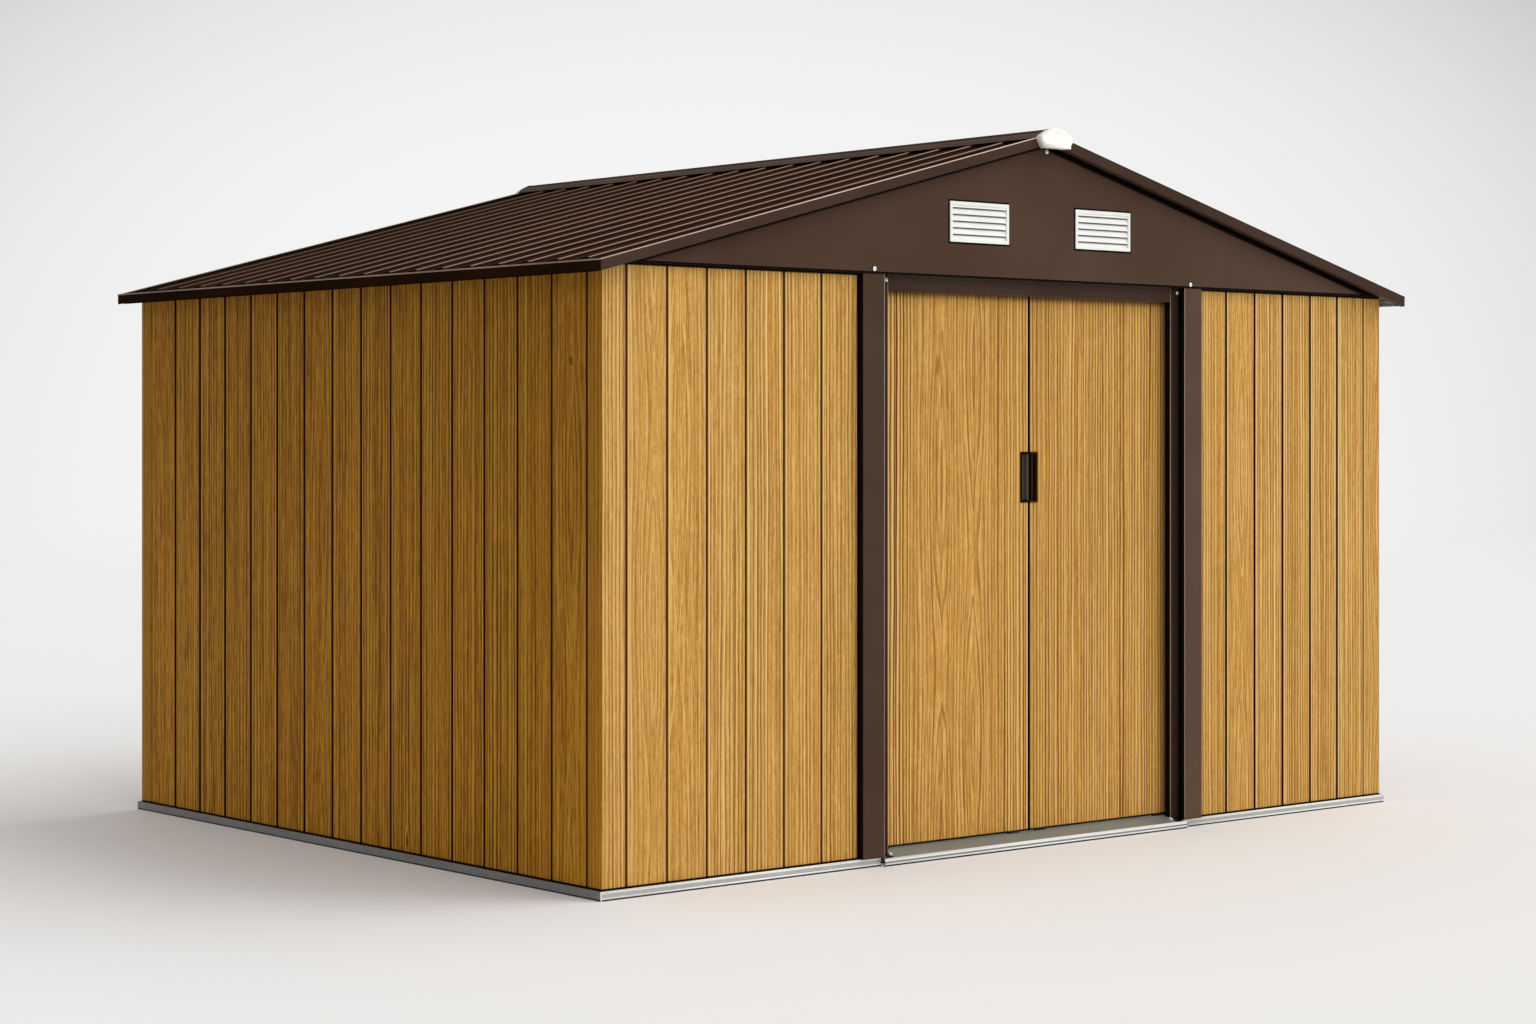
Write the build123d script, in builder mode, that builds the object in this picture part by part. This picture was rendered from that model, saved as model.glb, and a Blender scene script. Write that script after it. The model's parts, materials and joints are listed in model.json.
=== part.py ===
from build123d import *
import math
import os

# Sheet-steel garden shed. Origin on the ground under the middle of the plan.
# The front faces -Y, +X is to the right as seen from the front, +Z is up. Millimetres.

# Shell, measured to the outer faces of the wall panels
wall_width = 3000.0
wall_depth = 2310.0
wall_height = 1556.0
sheet = 1.5

# Pressed boards of the wall panels
front_boards = 6
side_boards = 15
rear_boards = 22
groove_width = 9.0
groove_floor = 3.0
groove_depth = 6.0
corner_front = 77.0
corner_side = 62.0

# Roof: rise from the wall face to the ridge, heel from the wall top to the roof's underside
roof_rise = 390.0
roof_heel = 4.0
eave_overhang = 47.0
gable_overhang = 57.0
rib_pitch = 127.0
rib_base = 30.0
rib_top = 14.0
rib_height = 6.0
trim_height = 27.5
trim_lip = 18.0

# Ridge cap and its end mouldings
cap_half = 65.0
cap_shoulder = 52.0
cap_shoulder_lift = 8.0
cap_flat = 20.0
cap_lift = 9.0
end_cap_depth = 24.0
end_cap_half = 68.0
end_cap_foot = 47.0
end_cap_crown = 36.0
end_cap_height = 55.0
end_cap_above = 4.0
end_cap_round = 11.0
end_cap_edge = 6.0
end_cap_lip = 9.0
end_cap_lip_proud = 3.0
end_cap_side_share = 0.5
end_cap_crown_share = 0.83

# Galvanised base channel
rail_height = 24.0
rail_width = 40.0
rail_proud = 9.0
rail_sheet = 2.0

# Door frame
doorway_width = 1104.0
jamb_face = 75.0
jamb_flange = 34.0
jamb_proud = 18.0
flange_setback = 6.0
header_height = 41.0
header_return = 14.0

# Doors, their tracks and nylon glides
door_setback = 31.0
door_depth = 25.0
door_gap = 5.0
door_overlap = 33.0
door_clear = 6.0
jamb_clear = 5.0
track_height = 16.0
track_half = 1105.0
guide_thickness = 3.0
glide_length = 40.0
glide_inset = 30.0
glide_gap = 0.3
top_glide_width = 20.0
bottom_glide_width = 12.0
bottom_glide_drop = 18.0

# Sill under the doors
sill_proud = 25.0
sill_front = 19.0
sill_back = 37.0
sill_half = 590.0
fit_gap = 1.0

# Recessed door pulls
pull_width = 31.0
pull_height = 140.0
pull_bottom = 946.0
pull_lip = 3.0
pull_proud = 2.5
pull_depth = 14.0
pull_wall = 2.0
pull_corner = 3.0

# Gables and louvred vents
gable_proud = 20.0
vent_width = 221.0
vent_height = 109.0
vent_x = 241.0
vent_rise = 149.0
vent_frame = 6.0
vent_proud = 4.0
vent_sleeve = 3.0
vent_depth = 14.0
vent_slats = 6
slat_sheet = 2.0
slat_setback = 1.5
slat_depth = 7.0
slat_hidden_share = 0.3
slat_top_share = 0.4
slat_cover_share = 0.85

# Roof and wall stiffeners seen inside
gable_rail_lap = 10.0
gable_rail_flange = 20.0
beam_half = 25.0
beam_drop = 40.0
purlin_width = 40.0
purlin_depth = 30.0
purlin_place_share = 0.5
top_rail_width = 35.0
brace_width = 40.0
brace_depth = 20.0
brace_height = 780.0

# Worked-out sizes
half_width = wall_width / 2
half_depth = wall_depth / 2
panel_depth = groove_depth + sheet
jamb_inner = doorway_width / 2
jamb_outer = jamb_inner + jamb_flange + jamb_face
roof_slope = roof_rise / half_width
pitch_angle = math.atan(roof_slope)
half_span = half_width + eave_overhang
slope_length = half_span / math.cos(pitch_angle)
half_roof = half_depth + gable_overhang
roof_top = sheet + rib_height
trim_top = roof_top + sheet
rail_inner = rail_width - rail_proud
door_back = door_setback + door_depth
door_middle = door_setback + door_depth / 2
door_bottom = sill_back + door_clear
door_top = wall_height - track_height - door_clear
gable_rail_reach = door_back + gable_rail_lap
vent_z = wall_height + vent_rise


def roof_under(x):
    """Height of the roof's underside at a distance x from the middle."""
    return wall_height + roof_heel + (half_width - abs(x)) * roof_slope


# Each wall's plane starts at a corner: X along the wall, Y into the shed, Z up
front_side = Plane((-half_width, -half_depth, 0), x_dir=(1, 0, 0), z_dir=(0, 0, 1))
rear_side = Plane((half_width, half_depth, 0), x_dir=(-1, 0, 0), z_dir=(0, 0, 1))
left_side = Plane((-half_width, half_depth, 0), x_dir=(0, -1, 0), z_dir=(0, 0, 1))

# Outer faces of the gables, with X across, Y up and Z into the shed
front_face = Plane((0, -half_depth - gable_proud, 0), x_dir=(-1, 0, 0), z_dir=(0, 1, 0))
rear_face = Plane((0, half_depth + gable_proud, 0), x_dir=(1, 0, 0), z_dir=(0, -1, 0))

# Outer faces of the rake trims, with X across, Y up and Z outward
front_end = Plane((0, -half_roof - sheet, 0), x_dir=(1, 0, 0), z_dir=(0, -1, 0))
rear_end = Plane((0, half_roof + sheet, 0), x_dir=(-1, 0, 0), z_dir=(0, 1, 0))

# Left roof slope at the eave: X to the rear, Y square to the roof, Z up the slope
eave_edge = (-half_span, 0, roof_under(half_span))
slope_up = (math.cos(pitch_angle), 0, math.sin(pitch_angle))
left_slope = Plane(eave_edge, x_dir=(0, 1, 0), z_dir=slope_up)

# Front of the door leaves
door_face = Plane.XZ.offset(half_depth - door_setback)


def across(side, start):
    """Section plane of a wall at a distance along it: X into the shed, Y up."""
    return Plane(side.from_local_coords((start, 0, 0)), x_dir=side.y_dir, z_dir=side.x_dir)


def fold(path, thickness):
    """Outline of a sheet bent along a path, with its thickness to the left of the path."""
    points = [Vector(x, y) for x, y in path]
    runs = [(b - a).normalized() for a, b in zip(points, points[1:])]
    sides = [Vector(-run.Y, run.X) for run in runs]
    before = [sides[0]] + sides
    after = sides + [sides[-1]]
    inner = [p + (a + b) * (thickness / (1 + a.dot(b))) for p, a, b in zip(points, before, after)]
    return points + inner[::-1]


def save(piece, name):
    """Label a finished piece and write it."""
    piece.part.label = name
    export_step(piece.part, f"parts/{name}.step")


def folded(name, plane, path, length):
    """One sheet bent along a path and run out from its plane."""
    with BuildPart() as piece:
        with BuildSketch(plane):
            with BuildLine():
                Polyline(*fold(path, sheet), close=True)
            make_face()
        extrude(amount=length)
    save(piece, name)
    return piece


def twin(piece, name):
    """Mirror image of a piece on the other side of the shed."""
    with BuildPart() as copy:
        mirror(piece.part, about=Plane.YZ)
    save(copy, name)


def board_path(start, end, boards):
    """Outer face of a wall panel: flat boards with a groove at each joint."""
    pitch = (end - start) / boards
    path = [(start, groove_depth)]
    for number in range(boards):
        left = start + number * pitch
        right = left + pitch
        path += [
            (left + groove_floor / 2, groove_depth),
            (left + groove_width / 2, 0),
            (right - groove_width / 2, 0),
            (right - groove_floor / 2, groove_depth),
        ]
    path += [(end, groove_depth)]
    return path


def base_rail(name, side, length, mitres):
    """Channel lying along a wall's foot, mitred at the corners that it turns."""
    first, last = mitres
    outer = -rail_proud
    inner = rail_inner
    strips = [
        (outer, inner, rail_sheet),
        (outer, outer + rail_sheet, rail_height),
        (inner - rail_sheet, inner, rail_height),
    ]
    with BuildPart() as rail:
        for near, far, height in strips:
            with BuildSketch(side):
                Polygon(
                    (first * near, near),
                    (length - last * near, near),
                    (length - last * far, far),
                    (first * far, far),
                )
            extrude(amount=height)
    save(rail, name)
    return rail


def corner_panel(name, side, along, inward):
    """Angle of wall sheet round a corner, with half a groove at each edge."""
    path = [
        (groove_depth, inward),
        (groove_depth, inward - groove_floor / 2),
        (0, inward - groove_width / 2),
        (0, 0),
        (along - groove_width / 2, 0),
        (along - groove_floor / 2, groove_depth),
        (along, groove_depth),
    ]
    return folded(name, side.offset(rail_sheet), path, wall_height - rail_sheet)


def wall_panel(name, side, start, end, boards):
    """Pressed wall sheet standing in the base channel."""
    path = board_path(start, end, boards)
    return folded(name, side.offset(rail_sheet), path, wall_height - rail_sheet)


def gable(name, face):
    """Gable sheet with two vent holes."""
    eave = roof_under(half_width)
    with BuildPart() as piece:
        with BuildSketch(face):
            Polygon(
                (-half_width, wall_height),
                (half_width, wall_height),
                (half_width, eave),
                (0, roof_under(0)),
                (-half_width, eave),
            )
            with Locations((-vent_x, vent_z), (vent_x, vent_z)):
                Rectangle(
                    vent_width - 2 * vent_frame + 2 * fit_gap,
                    vent_height - 2 * vent_frame + 2 * fit_gap,
                    mode=Mode.SUBTRACT,
                )
        extrude(amount=sheet)
    save(piece, name)


def vents(name, face):
    """Pair of louvres: a frame on the gable, a sleeve through it and sloping slats."""
    sleeve_width = vent_width - 2 * vent_frame
    sleeve_height = vent_height - 2 * vent_frame
    open_width = sleeve_width - 2 * vent_sleeve
    open_height = sleeve_height - 2 * vent_sleeve
    slat_pitch = open_height / (vent_slats - 1 - slat_hidden_share + slat_top_share)
    slat_length = open_width + vent_sleeve
    places = [(-vent_x, vent_z), (vent_x, vent_z)]
    with BuildPart() as pair:
        with BuildSketch(face.offset(-vent_proud)):
            with Locations(*places):
                Rectangle(vent_width, vent_height)
                Rectangle(open_width, open_height, mode=Mode.SUBTRACT)
        extrude(amount=vent_proud)
        with BuildSketch(face.offset(-vent_proud)):
            with Locations(*places):
                Rectangle(sleeve_width, sleeve_height)
                Rectangle(open_width, open_height, mode=Mode.SUBTRACT)
        extrude(amount=vent_depth)
        for x, z in places:
            end = face.from_local_coords((x + slat_length / 2, z - open_height / 2, -vent_proud))
            with BuildSketch(Plane(end, x_dir=face.z_dir, z_dir=-face.x_dir)):
                for number in range(vent_slats):
                    foot = (number - slat_hidden_share) * slat_pitch
                    head = foot + slat_pitch * slat_cover_share
                    Polygon(
                        (slat_setback, foot),
                        (slat_depth, head),
                        (slat_depth, head + slat_sheet),
                        (slat_setback, foot + slat_sheet),
                    )
                with Locations((0, -vent_sleeve / 2)):
                    Rectangle(
                        vent_depth,
                        open_height + vent_sleeve,
                        align=(Align.MIN, Align.MIN),
                        mode=Mode.INTERSECT,
                    )
            extrude(amount=slat_length)
    save(pair, name)


def roof_sheet(name):
    """Left roof sheet with ribs pressed up the slope."""
    count = int(2 * half_roof // rib_pitch) - 1
    path = [(-half_roof, 0)]
    for number in range(count):
        middle = (number - (count - 1) / 2) * rib_pitch
        path += [
            (middle - rib_base / 2, 0),
            (middle - rib_top / 2, rib_height),
            (middle + rib_top / 2, rib_height),
            (middle + rib_base / 2, 0),
        ]
    path += [(half_roof, 0)]
    edge = roof_top * roof_slope
    return folded(name, left_slope.offset(edge), path, slope_length - edge - fit_gap)


def rake_trim(name, end):
    """Channel along a sloping edge of the left roof sheet, at the front (-1) or rear (1)."""
    outer = half_roof + sheet
    inner = half_roof - trim_lip
    drop = trim_top - trim_height
    path = [(-inner, trim_top), (-outer, trim_top), (-outer, drop), (-inner, drop)]
    if end > 0:
        path = [(-x, y) for x, y in reversed(path)]
    with BuildPart() as trim:
        with BuildSketch(left_slope.offset(-trim_height)):
            Polygon(*fold(path, sheet))
        extrude(amount=slope_length + 2 * trim_height)
        split(bisect_by=Plane.YZ.offset(-half_span), keep=Keep.TOP)
        split(bisect_by=Plane.YZ, keep=Keep.BOTTOM)
    save(trim, name)
    return trim


def eave_trim(name):
    """Fascia along the left eave, with lips over and under the roof sheet's edge."""
    outer = half_span + sheet
    inner = half_span - trim_lip
    lift = trim_top / math.cos(pitch_angle)
    top = roof_under(outer) + lift
    foot = top - trim_height
    path = [(-inner, roof_under(inner) + lift), (-outer, top), (-outer, foot), (-inner, foot)]
    with BuildPart() as trim:
        with BuildSketch(Plane.XZ):
            Polygon(*fold(path, sheet))
        extrude(amount=half_roof - trim_lip - fit_gap, both=True)
        with BuildSketch(Plane.XZ):
            with Locations((-outer, foot)):
                Rectangle(sheet, trim_height, align=(Align.MIN, Align.MIN))
        extrude(amount=half_roof + sheet, both=True)
    save(trim, name)
    return trim


def ridge_cap(name):
    """Folded cap over the ridge, resting on the rake trims."""
    rest = trim_top / math.cos(pitch_angle)
    edge = (cap_half, roof_under(cap_half) + rest)
    shoulder = (cap_shoulder, roof_under(cap_shoulder) + rest + cap_shoulder_lift)
    flat = (cap_flat, roof_under(0) + rest + cap_lift)
    left = [(-x, z) for x, z in (edge, shoulder, flat)]
    with BuildPart() as cap:
        with BuildSketch(Plane.XZ):
            Polygon(*fold(left + [flat, shoulder, edge], sheet))
        extrude(amount=half_roof + sheet, both=True)
    save(cap, name)


def ridge_end(name, plane):
    """Pale moulding that closes the end of the ridge cap, with a lip along its foot."""
    top = roof_under(0) + trim_top / math.cos(pitch_angle) + cap_lift + end_cap_above
    foot = top - end_cap_height
    side = foot + end_cap_height * end_cap_side_share
    crown = foot + end_cap_height * end_cap_crown_share
    with BuildPart() as cap:
        with BuildSketch(plane):
            with BuildLine():
                Polyline(
                    (-end_cap_crown, crown),
                    (-end_cap_half, side),
                    (-end_cap_foot, foot),
                    (end_cap_foot, foot),
                    (end_cap_half, side),
                    (end_cap_crown, crown),
                )
                ThreePointArc((end_cap_crown, crown), (0, top), (-end_cap_crown, crown))
            make_face()
        extrude(amount=end_cap_depth)
        fillet(cap.edges().filter_by(Axis.Y), radius=end_cap_round)
        fillet(cap.faces().sort_by(Axis(plane.origin, plane.z_dir))[-1].edges(), radius=end_cap_edge)
        with BuildSketch(plane):
            with Locations((0, foot)):
                Rectangle(2 * end_cap_foot, end_cap_lip, align=(Align.CENTER, Align.MIN))
        extrude(amount=end_cap_depth + end_cap_lip_proud)
    save(cap, name)


def door_panel(name):
    """Left door leaf: a pan with turned edges and a hole for its pull."""
    outer = jamb_inner + door_overlap
    width = outer - door_gap / 2
    height = door_top - door_bottom
    middle = (-(outer + door_gap / 2) / 2, (door_top + door_bottom) / 2)
    pull = (-(door_gap + pull_width) / 2, pull_bottom + pull_height / 2)
    with BuildPart() as leaf:
        with BuildSketch(door_face):
            with Locations(middle):
                Rectangle(width, height)
        extrude(amount=-door_depth)
        with BuildSketch(door_face.offset(-sheet)):
            with Locations(middle):
                Rectangle(width - 2 * sheet, height - 2 * sheet)
        extrude(amount=-door_depth, mode=Mode.SUBTRACT)
        with BuildSketch(door_face):
            with Locations(pull):
                Rectangle(pull_width - 2 * pull_lip, pull_height - 2 * pull_lip)
        extrude(amount=-door_depth, mode=Mode.SUBTRACT)
    save(leaf, name)
    return leaf


def door_pull(name):
    """Recessed pull at the meeting edge of the left leaf."""
    centre = (-(door_gap + pull_width) / 2, pull_bottom + pull_height / 2)
    cup_width = pull_width - 2 * pull_lip - fit_gap
    cup_height = pull_height - 2 * pull_lip - fit_gap
    front = door_face.offset(pull_proud)
    with BuildPart() as pull:
        with BuildSketch(front):
            with Locations(centre):
                RectangleRounded(pull_width, pull_height, pull_corner)
        extrude(amount=-pull_proud)
        with BuildSketch(front):
            with Locations(centre):
                Rectangle(cup_width, cup_height)
        extrude(amount=-pull_proud - pull_depth)
        with BuildSketch(front):
            with Locations(centre):
                Rectangle(cup_width - 2 * pull_wall, cup_height - 2 * pull_wall)
        extrude(amount=pull_wall - pull_proud - pull_depth, mode=Mode.SUBTRACT)
    save(pull, name)
    return pull


def door_glides(name):
    """Nylon glides of the left leaf: two in the top track, two over the bottom guide."""
    outer = jamb_inner + door_overlap
    places = (-outer + glide_inset, -door_gap / 2 - glide_inset - glide_length)
    top = wall_height - sheet - glide_gap
    slot = guide_thickness / 2 + glide_gap
    half = bottom_glide_width / 2
    foot = door_bottom - bottom_glide_drop
    roof = sill_back + glide_gap
    with BuildPart() as glides:
        for place in places:
            start = place + half_width
            with BuildSketch(across(front_side, start)):
                with Locations((door_middle, door_top)):
                    Rectangle(top_glide_width, top - door_top, align=(Align.CENTER, Align.MIN))
                Polygon(
                    (door_middle - half, foot),
                    (door_middle - slot, foot),
                    (door_middle - slot, roof),
                    (door_middle + slot, roof),
                    (door_middle + slot, foot),
                    (door_middle + half, foot),
                    (door_middle + half, door_bottom),
                    (door_middle - half, door_bottom),
                )
            extrude(amount=glide_length)
    save(glides, name)
    return glides


os.makedirs("parts", exist_ok=True)

# Base channel: it turns the four corners and stops at the sill
front_rail_length = half_width - sill_half
left_rail = base_rail("left_base_rail", left_side, wall_depth, (1, 1))
twin(left_rail, "right_base_rail")
front_rail = base_rail("front_left_base_rail", front_side, front_rail_length, (1, 0))
twin(front_rail, "front_right_base_rail")
base_rail("rear_base_rail", rear_side, wall_width, (1, 1))

# Sill: a ramp between the jambs with its front lip carried past them
with BuildPart() as sill:
    with BuildSketch(across(front_side, half_width - sill_half)):
        Polygon(*fold([
            (rail_inner, 0),
            (rail_inner, sill_back),
            (-sill_proud, sill_front),
            (-sill_proud, 0),
        ], rail_sheet))
    extrude(amount=2 * sill_half)
    notch = sill_half - jamb_inner + fit_gap
    notch_depth = jamb_proud + fit_gap + rail_inner
    with BuildSketch(front_side):
        for end in (half_width - sill_half, half_width + sill_half - notch):
            with Locations((end, -jamb_proud - fit_gap)):
                Rectangle(notch, notch_depth, align=(Align.MIN, Align.MIN))
    extrude(amount=sill_back, mode=Mode.SUBTRACT)
save(sill, "door_sill")

# Bottom guide and top track, long enough for both doors when open
with BuildPart() as guide:
    with BuildSketch(across(front_side, half_width - track_half)):
        Polygon(
            (rail_inner, 0),
            (door_back, 0),
            (door_back, rail_sheet),
            (door_middle + guide_thickness / 2, rail_sheet),
            (door_middle + guide_thickness / 2, sill_back),
            (door_middle - guide_thickness / 2, sill_back),
            (door_middle - guide_thickness / 2, rail_sheet),
            (rail_inner, rail_sheet),
        )
    extrude(amount=2 * track_half)
save(guide, "bottom_door_track")

track_foot = wall_height - track_height
folded("top_door_track", across(front_side, half_width - track_half), [
    (door_back, track_foot),
    (door_back, wall_height),
    (door_setback, wall_height),
    (door_setback, track_foot),
], 2 * track_half)

# Walls
front_wall_end = half_width - jamb_outer
front_wall = wall_panel("front_left_wall", front_side, corner_front, front_wall_end, front_boards)
twin(front_wall, "front_right_wall")
left_wall = wall_panel("left_wall", left_side, corner_side, wall_depth - corner_side, side_boards)
twin(left_wall, "right_wall")
wall_panel("rear_wall", rear_side, corner_front, wall_width - corner_front, rear_boards)
front_corner = corner_panel("front_left_corner", front_side, corner_front, corner_side)
twin(front_corner, "front_right_corner")
rear_corner = corner_panel("rear_left_corner", left_side, corner_side, corner_front)
twin(rear_corner, "rear_right_corner")

# Door frame: stepped jambs standing on the base channel, and the header between them
jamb_step = half_width - jamb_inner - jamb_flange
jamb_edge = half_width - jamb_inner
jamb = folded("left_jamb", front_side.offset(rail_height), [
    (front_wall_end, panel_depth),
    (front_wall_end, -jamb_proud),
    (jamb_step, -jamb_proud),
    (jamb_step, flange_setback),
    (jamb_edge, flange_setback),
    (jamb_edge, door_setback - jamb_clear),
], wall_height - rail_height)
twin(jamb, "right_jamb")

header_foot = wall_height - header_height
folded("door_header", across(front_side, half_width - jamb_inner), [
    (flange_setback, wall_height),
    (flange_setback, header_foot),
    (flange_setback + header_return, header_foot),
], doorway_width)

# Gables and vents
gable("front_gable", front_face)
gable("rear_gable", rear_face)
vents("front_vents", front_face)
vents("rear_vents", rear_face)

# Roof
left_roof = roof_sheet("left_roof_sheet")
twin(left_roof, "right_roof_sheet")
front_rake = rake_trim("front_left_rake_trim", -1)
twin(front_rake, "front_right_rake_trim")
rear_rake = rake_trim("rear_left_rake_trim", 1)
twin(rear_rake, "rear_right_rake_trim")
left_eave = eave_trim("left_eave_trim")
twin(left_eave, "right_eave_trim")
ridge_cap("ridge_cap")
ridge_end("front_ridge_end", front_end)
ridge_end("rear_ridge_end", rear_end)

# Roof beams run between the gables
beam_length = half_depth + gable_proud - sheet
beam_top = roof_under(beam_half)
with BuildPart() as beam:
    with BuildSketch(Plane.XZ):
        Polygon(*fold([
            (beam_half, beam_top - beam_drop),
            (beam_half, beam_top),
            (0, roof_under(0)),
            (-beam_half, beam_top),
            (-beam_half, beam_top - beam_drop),
        ], sheet))
    extrude(amount=beam_length, both=True)
save(beam, "ridge_beam")

purlin_start = slope_length * purlin_place_share
purlin_plane = Plane(
    left_slope.from_local_coords((-beam_length, 0, purlin_start)),
    x_dir=left_slope.z_dir,
    z_dir=-left_slope.x_dir,
)
with BuildPart() as purlins:
    with BuildSketch(purlin_plane):
        Polygon(*fold([
            (purlin_width, -purlin_depth),
            (purlin_width, 0),
            (0, 0),
            (0, -purlin_depth),
        ], sheet))
    extrude(amount=-2 * beam_length)
    mirror(about=Plane.YZ)
save(purlins, "roof_purlins")

# Rails on the wall tops that carry the roof and the gables, and braces behind the walls
rail_edge = half_width - top_rail_width
gable_rail_outer = sheet - gable_proud
flange_inset = gable_rail_flange / roof_slope
with BuildPart() as top_rails:
    with BuildSketch(Plane.XZ):
        Polygon(
            (-half_width, wall_height),
            (-rail_edge, wall_height),
            (-rail_edge, roof_under(rail_edge)),
            (-rail_edge - sheet, roof_under(rail_edge + sheet)),
            (-rail_edge - sheet, wall_height + sheet),
            (-half_width, wall_height + sheet),
        )
    extrude(amount=half_depth - gable_rail_reach - fit_gap, both=True)
    mirror(about=Plane.YZ)
    for side in (front_side, rear_side):
        with BuildSketch(across(side, 0)):
            with Locations((gable_rail_outer, wall_height)):
                Rectangle(gable_rail_reach - gable_rail_outer, sheet, align=(Align.MIN, Align.MIN))
        extrude(amount=wall_width)
        with BuildSketch(across(side, flange_inset)):
            with Locations((gable_rail_outer, wall_height)):
                Rectangle(sheet, gable_rail_flange, align=(Align.MIN, Align.MIN))
        extrude(amount=wall_width - 2 * flange_inset)
save(top_rails, "wall_top_rails")

brace_near = panel_depth
brace_far = panel_depth + brace_depth
brace_top = brace_height + brace_width
brace_path = [
    (brace_far, brace_top),
    (brace_near, brace_top),
    (brace_near, brace_height),
    (brace_far, brace_height),
]
with BuildPart() as braces:
    with BuildSketch(across(left_side, corner_side)):
        Polygon(*fold(brace_path, sheet))
    extrude(amount=wall_depth - 2 * corner_side)
    mirror(about=Plane.YZ)
    with BuildSketch(across(rear_side, corner_front)):
        Polygon(*fold(brace_path, sheet))
    extrude(amount=wall_width - 2 * corner_front)
save(braces, "wall_braces")

# Doors
panel = door_panel("left_door_panel")
twin(panel, "right_door_panel")
pull = door_pull("left_door_pull")
twin(pull, "right_door_pull")
glides = door_glides("left_door_glides")
twin(glides, "right_door_glides")
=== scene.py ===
import itertools
import json
import math
from collections import namedtuple

import bmesh
import bpy
from mathutils import Matrix, Vector


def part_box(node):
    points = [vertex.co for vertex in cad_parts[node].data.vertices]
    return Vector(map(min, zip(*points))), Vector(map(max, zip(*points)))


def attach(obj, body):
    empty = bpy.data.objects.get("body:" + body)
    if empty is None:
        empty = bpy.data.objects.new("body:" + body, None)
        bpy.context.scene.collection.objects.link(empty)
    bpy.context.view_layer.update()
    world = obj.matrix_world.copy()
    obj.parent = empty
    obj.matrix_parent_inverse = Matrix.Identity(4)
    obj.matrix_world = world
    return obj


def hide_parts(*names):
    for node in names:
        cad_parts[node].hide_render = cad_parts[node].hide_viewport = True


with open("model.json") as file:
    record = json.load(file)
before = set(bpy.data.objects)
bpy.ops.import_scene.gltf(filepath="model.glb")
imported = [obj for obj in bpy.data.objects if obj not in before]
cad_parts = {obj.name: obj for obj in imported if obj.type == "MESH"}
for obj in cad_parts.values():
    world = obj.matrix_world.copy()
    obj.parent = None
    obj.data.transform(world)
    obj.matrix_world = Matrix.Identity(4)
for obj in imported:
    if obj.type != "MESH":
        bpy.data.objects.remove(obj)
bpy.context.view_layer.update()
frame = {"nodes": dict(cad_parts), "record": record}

# Camera of the photograph, fitted to its corners and edges
photo_width = 1536
photo_height = 1024
focal_pixels = 2958.6
horizon_row = 433.0
sensor_width = 36.0
camera_place = (-5.835, -6.907, 1.138)
camera_heading = -40.22

# Counts and sizes that the solids have too, in metres
front_boards = 6
side_boards = 15
rear_boards = 22
rib_pitch = 0.127
rail_height = 0.024
roof_slope = 0.26
doorway_half = 0.552
jamb_face = 0.075
jamb_step = 0.024
sill_front = 0.019
vent_width = 0.221
cap_shoulder = 0.052

# Printed grain: strips of the flat doors, and sizes in metres of arches, knots and straying fibres
door_strips = 4
arch_width = 0.042
arch_length = 1.0
arch_rise = 0.38 * arch_width
knot_width = 0.006
knot_height = 0.013
knot_swerve = 0.010
fibre_wander = 0.009
fibre_ripple = 0.004
ring_stray = 0.020

# Layers of the grain: features in a metre across and up a board, what sets each layer's draw apart, and the
# noise's detail and roughness. How many streaks lie across comes from the style instead
Grain = namedtuple("Grain", "across up draw detail roughness", defaults=(2.0, 0.5))
wander_grain = Grain(9.0, 1.7, 0.0)
ripple_grain = Grain(40.0, 6.0, 5.0)
ring_grain = Grain(32.0, 0.5, 0.0)
fade_grain = Grain(24.0, 0.8, 3.7)
fine_grain = Grain(160.0, 70.0, 11.0, 3.0, 0.6)
broad_grain = Grain(26.0, 0.5, 23.0)
long_streak = Grain(None, 0.8, 17.0, 2.0, 0.6)
middling_streak = Grain(None, 5.0, 29.0, 2.0, 0.6)
short_streak = Grain(None, 24.0, 37.0, 2.0, 0.6)
board_draw = 7.31
second_draw = 0.5
ring_draw = 61.0

# Growth rings, as shares of a ring: place of the dark line, step to the light one, soft edges of both
dark_line_share = 0.4
light_step_share = 0.32
dark_edge_shares = (0.27, 0.13)
light_edge_shares = (0.22, 0.10)

# Chances and reaches in the print: heart's place as a share of a board, how soft the choice of knots and of
# arches is, edge and fall of a knot in its own sizes, noise at which lines fade, chance of red lines
heart_share = 0.5
knot_choice = 0.02
arch_choice = 0.1
knot_edge = (1.2, 0.5)
knot_fall = 0.15
fade_range = (0.35, 0.60)
red_choice = (0.80, 0.86)

# Painted lines, in metres: highlight rims beside the grooves, red painted shade beside them, painted shade
# in the seam between the doors, soft edges of each, and painted shade on the doors beside the jamb and below
# the header
rim_width = 0.0050
door_rim_width = 0.0035
edge_shade_width = 0.005
door_seam = 0.0026
rim_edge = 0.0015
groove_edge = 0.0006
seam_edge = 0.0008
jamb_shade = 0.065
header_shade = (0.022, -0.002)

# Strengths of the print's parts
fine_tone = 0.6
short_streak_tone = 0.8
broad_tone = 0.15
board_tone = 0.06
line_spread = 0.6
line_fade = 0.4
arch_fade = 0.4
red_line = 0.25
light_line = 0.9
knot_tone = 0.8
edge_shade_tone = 0.35
jamb_shade_tone = 0.6
header_shade_tone = 0.75
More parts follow.
